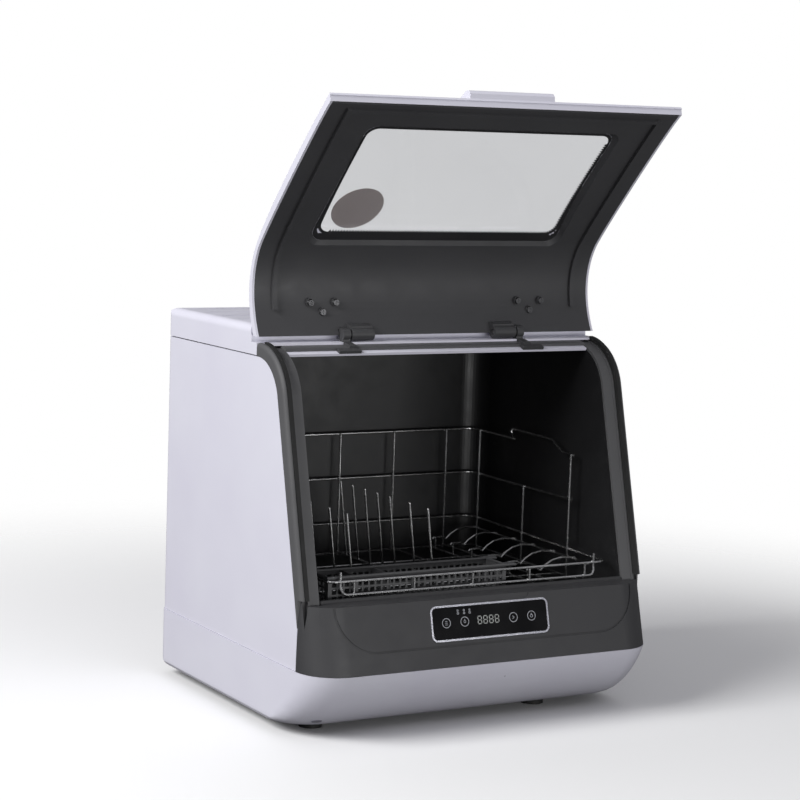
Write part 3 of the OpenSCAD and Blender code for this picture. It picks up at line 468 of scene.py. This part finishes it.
def add_bar(bm, matrix, x, y, length, width, turn, z0, z1):
    """Flat bar at a point of the surface, turned about it, between two heights over it."""
    c, s = math.cos(turn), math.sin(turn)
    ends = ((-1, -1), (1, -1), (1, 1), (-1, 1))
    loops = []
    for z in (z0, z1):
        loop = []
        for i, j in ends:
            u, v = i * length / 2, j * width / 2
            loop.append(bm.verts.new(matrix @ Vector((x + u * c - v * s, y + u * s + v * c, z))))
        loops.append(loop)
    bm.faces.new(loops[0][::-1])
    bm.faces.new(loops[1])
    join_loops(bm, *loops)


def add_dome(bm, matrix, radius, height):
    """Low round bump, its rim sunk a little into the surface."""
    last = None
    for k in range(DOME_RINGS):
        a = math.pi / 2 * k / DOME_RINGS
        z = height * math.sin(a) - DOME_SINK
        ring = [bm.verts.new(matrix @ Vector((x, y, z)))
                for x, y in circle(radius * math.cos(a), DOME_TURNS)]
        if last:
            join_loops(bm, last, ring)
        else:
            bm.faces.new(ring[::-1])
        last = ring
    close_fan(bm, bm.verts.new(matrix @ Vector((0, 0, height))), last)


def finish_mesh(bm, name, material, body, smooth=False):
    bmesh.ops.recalc_face_normals(bm, faces=bm.faces)
    mesh = bpy.data.meshes.new(name)
    bm.to_mesh(mesh)
    bm.free()
    for face in mesh.polygons:
        face.use_smooth = smooth
    mesh.materials.append(material)
    obj = bpy.data.objects.new(name, mesh)
    bpy.context.scene.collection.objects.link(obj)
    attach(obj, body)


def tree_of(name):
    mesh = NODES[name].data
    return BVHTree.FromPolygons([v.co for v in mesh.vertices], [p.vertices for p in mesh.polygons])


# Control print

FACE_LOW = Vector((0, -0.189, 0.075))
FACE_HIGH = Vector((0, -0.1715, 0.1425))
CONTROL_Z = 0.1183
GLASS_PROUD = 0.4 * MM
PRINT_LOW = GLASS_PROUD + 0.01 * MM
PRINT_HIGH = GLASS_PROUD + 0.07 * MM

# from here on in millimetres on the glass, across from the middle and up from CONTROL_Z
TOUCH_KEYS = (-53.3, -31.2, 28.1, 50.5)
KEY_UP = 0.4
KEY_RING = (4.5, 5.05)
KEY_TURNS = 40
LAMPS = (-38.6, -31.2, -24.4)
# number of the key, height, inner and outer radius, points
KEY_CIRCLES = ((1, 0.4, 1.0, 1.45, 20), (3, 0.2, 1.3, 1.75, 24))
# number of the key, height, length, width, turn
KEY_BARS = (
    (0, -1.4, 2.8, 0.45, 0),
    (0, 0.4, 2.8, 0.45, 0),
    (0, 2.2, 2.8, 0.45, 0),
    (1, 2.5, 1.1, 0.4, math.pi / 2),
    (2, -0.4, 2.8, 0.45, 0.6),
    (2, 1.2, 2.8, 0.45, -0.6),
    (3, 2.1, 2.2, 0.45, math.pi / 2),
)
# height, inner and outer radius of the two rings of each lamp
LAMP_RINGS = ((9.4, 0.75, 1.25), (12.2, 0.6, 1.05))
LAMP_TURNS = 18


def control_matrix():
    """Matrix of the control panel's face: X along, Y up the face, Z out of it."""
    up = (FACE_HIGH - FACE_LOW).normalized()
    across = Vector((1, 0, 0))
    t = (CONTROL_Z - FACE_LOW.z) / (FACE_HIGH.z - FACE_LOW.z)
    return frame_matrix(across, up, across.cross(up), FACE_LOW.lerp(FACE_HIGH, t))


def make_control_print(looks):
    """Thin printed rings, a generic mark in each, and three small lamps over the second key."""
    matrix = control_matrix()
    bm = bmesh.new()

    def ring(x, y, inner, outer, turns):
        add_ring(bm, matrix, x * MM, y * MM, inner * MM, outer * MM, PRINT_LOW, PRINT_HIGH, turns)

    for x in TOUCH_KEYS:
        ring(x, KEY_UP, *KEY_RING, KEY_TURNS)
    for key, y, inner, outer, turns in KEY_CIRCLES:
        ring(TOUCH_KEYS[key], y, inner, outer, turns)
    for key, y, length, width, turn in KEY_BARS:
        x = TOUCH_KEYS[key]
        add_bar(bm, matrix, x * MM, y * MM, length * MM, width * MM, turn, PRINT_LOW, PRINT_HIGH)
    for x in LAMPS:
        for y, inner, outer in LAMP_RINGS:
            ring(x, y, inner, outer, LAMP_TURNS)
    finish_mesh(bm, "control_print", looks["print"], "cabinet")


# Pane border, moulding marks and label of the lid

LID_TURN = math.radians(136)
LID_PLACE = Vector((0, -0.1075, 0.5697))
LID_UP = Vector((0, math.cos(LID_TURN), math.sin(LID_TURN)))
LID_IN = Vector((0, -math.sin(LID_TURN), math.cos(LID_TURN)))
LID_REACH = 0.12

WINDOW_HALF = 0.1455
WINDOW_LOW = -0.0845
WINDOW_HIGH = 0.066
WINDOW_CORNER = 0.012
CORNER_STEPS = 12
FRIT_PITCH = 0.0034
FRIT_TOOTH = 0.0032
FRIT_LIFT = (0.00002, 0.0001)
FRIT_LEAST = 0.0004
FRIT_STEP = 0.0002
FRIT_STEPS = 60

LINER_DOTS = ((-0.160, 0.0245), (-0.186, -0.0700), (0.168, 0.0265))
DOT_RADIUS = 2.6 * MM
DOT_HEIGHT = 0.25 * MM

LABEL_PLACE = (-0.1110, -0.0520)
LABEL_RADIUS = 0.029
LABEL_LIFT = (0.00005, 0.00017)
LABEL_RINGS = 8
LABEL_TURNS = 48
LABEL_REACH = 0.06


def lid_hit(tree, x, y):
    """Place and normal on a lid piece's inner side, at x and y up the lid, in metres."""
    start = LID_PLACE + LID_UP * y + Vector((x, 0, 0)) + LID_IN * LID_REACH
    place, normal, _, _ = tree.ray_cast(start, -LID_IN)
    return place, normal


def window_outline():
    """Points around the pane's edge, each with its outward direction and whether it has teeth."""
    r, hx, y0, y1 = WINDOW_CORNER, WINDOW_HALF, WINDOW_LOW, WINDOW_HIGH
    runs = (
        ((-hx + r, y0), (hx - r, y0), (0, -1), True),
        ((hx, y0 + r), (hx, y1 - r), (1, 0), True),
        ((hx - r, y1), (-hx + r, y1), (0, 1), False),
        ((-hx, y1 - r), (-hx, y0 + r), (-1, 0), False),
    )
    points = []
    for k, (start, end, out, toothed) in enumerate(runs):
        steps = 2 * round(math.dist(start, end) / FRIT_PITCH)
        for i in range(steps):
            t = i / steps
            x = start[0] + (end[0] - start[0]) * t
            y = start[1] + (end[1] - start[1]) * t
            points.append((x, y, *out, toothed))
        turn = math.atan2(out[1], out[0])
        centre = (end[0] - out[0] * r, end[1] - out[1] * r)
        for i in range(CORNER_STEPS):
            a = turn + math.pi / 2 * i / CORNER_STEPS
            c, s = math.cos(a), math.sin(a)
            points.append((centre[0] + r * c, centre[1] + r * s, c, s, k == 0))
    return points


def nearest_hit(trees, x, y):
    """First place met on any of the lid's pieces, with the name of the piece."""
    best = None
    for name, tree in trees.items():
        place, _ = lid_hit(tree, x, y)
        if place is not None and (best is None or (place - best[1]).dot(LID_IN) > 0):
            best = (name, place)
    return best


def frit_reach(trees, x, y, out_x, out_y):
    """How far the border runs outwards before it meets the foot of the liner's recess."""
    reach = FRIT_LEAST
    for i in range(1, FRIT_STEPS + 1):
        step = FRIT_STEP * i + FRIT_LEAST
        hit = nearest_hit(trees, x + out_x * step, y + out_y * step)
        if hit and hit[0] == "lid_liner":
            break
        if hit:
            reach = step
    return reach


def make_frit(looks):
    """Printed dark border around the pane, toothed along its lower and right edges."""
    trees = {name: tree_of(name) for name in ("lid_window", "lid_shell", "lid_liner")}
    glazing = {name: trees[name] for name in ("lid_window", "lid_shell")}
    low, high = FRIT_LIFT
    bm = bmesh.new()
    loops = [[], [], [], []]
    for i, (x, y, out_x, out_y, toothed) in enumerate(window_outline()):
        tooth = FRIT_TOOTH if toothed and i % 2 else 0.0
        inner = nearest_hit(glazing, x - out_x * tooth, y - out_y * tooth)[1]
        reach = frit_reach(trees, x, y, out_x, out_y)
        outer = nearest_hit(glazing, x + out_x * reach, y + out_y * reach)[1]
        for loop, place, lift in zip(loops, (inner, inner, outer, outer), (low, high, high, low)):
            loop.append(bm.verts.new(place + LID_IN * lift))
    for k in range(4):
        join_loops(bm, loops[k], loops[(k + 1) % 4])
    finish_mesh(bm, "window_frit", looks["frit"], "lid")


def make_liner_dots(looks):
    """Faint round ejector marks of the liner's moulding."""
    tree = tree_of("lid_liner")
    bm = bmesh.new()
    for x, y in LINER_DOTS:
        place, normal = lid_hit(tree, x, y)
        add_dome(bm, surface_matrix(place, normal, LID_UP), DOT_RADIUS, DOT_HEIGHT)
    finish_mesh(bm, "liner_marks", looks["charcoal"], "lid", True)


def make_label(looks):
    """Blank paper label stuck on the outside of the pane, seen through it."""
    tree = tree_of("lid_window")
    start = LID_PLACE + LID_UP * LABEL_PLACE[1] + Vector((LABEL_PLACE[0], 0, 0)) - LID_IN * LABEL_REACH
    bm = bmesh.new()
    rims = []
    for lift in LABEL_LIFT:
        layer = []
        for k in range(LABEL_RINGS + 1):
            points = circle(LABEL_RADIUS * k / LABEL_RINGS, LABEL_TURNS if k else 1)
            hits = [tree.ray_cast(start + Vector((x, 0, 0)) + LID_UP * y, LID_IN)[0] for x, y in points]
            layer.append([bm.verts.new(hit - LID_IN * lift) for hit in hits])
        close_fan(bm, layer[0][0], layer[1])
        for k in range(1, LABEL_RINGS):
            join_loops(bm, layer[k + 1], layer[k])
        rims.append(layer[-1])
    join_loops(bm, *rims)
    finish_mesh(bm, "window_label", looks["paper"], "lid")


# Base marks and tine tips

# x, y and radius
BASE_MARKS = ((-0.1795, -0.1387, 0.0056), (0.0189, -0.1806, 0.0008))
BASE_MARK_HEIGHT = 0.3 * MM
BASE_REACH = 0.02

TINE_Y = (0.1155, 0.087, 0.0585, 0.030, 0.002, -0.042, -0.081)
TINE_X = (-0.012, -0.110)
TINE_TOP = 0.220
TINE_LEAN = -0.0104
TIP_RADIUS = 1.35 * MM
TIP_SINK = 0.2 * MM


def make_base_marks(looks):
    """A round grey plug over the left front foot and a small mark in the base's front."""
    tree = tree_of("base_tray")
    up = Vector((0, 0, 1))
    bm = bmesh.new()
    for x, y, radius in BASE_MARKS:
        place, normal, _, _ = tree.ray_cast(Vector((x, y, -BASE_REACH)), up)
        add_dome(bm, surface_matrix(place, normal, up), radius, BASE_MARK_HEIGHT)
    finish_mesh(bm, "base_plug", looks["plug"], "cabinet", True)


def make_wire_tips(looks):
    """Rounded, bright ends of the plate tines."""
    bm = bmesh.new()
    for x in TINE_X:
        for y in TINE_Y:
            matrix = Matrix.Translation((x + TINE_LEAN, y, TINE_TOP - TIP_SINK))
            bmesh.ops.create_icosphere(bm, subdivisions=3, radius=TIP_RADIUS, matrix=matrix)
    finish_mesh(bm, "tine_tips", looks["wire"], "basket", True)


# Build

bpy.context.scene.view_settings.view_transform = "Standard"
make_camera()
make_world()
for name, light in LIGHTS.items():
    area_light(name, **light)
make_floor()
looks = make_materials()
dress_nodes(looks)
smooth_curves()
make_control_print(looks)
make_frit(looks)
make_liner_dots(looks)
make_label(looks)
make_base_marks(looks)
make_wire_tips(looks)
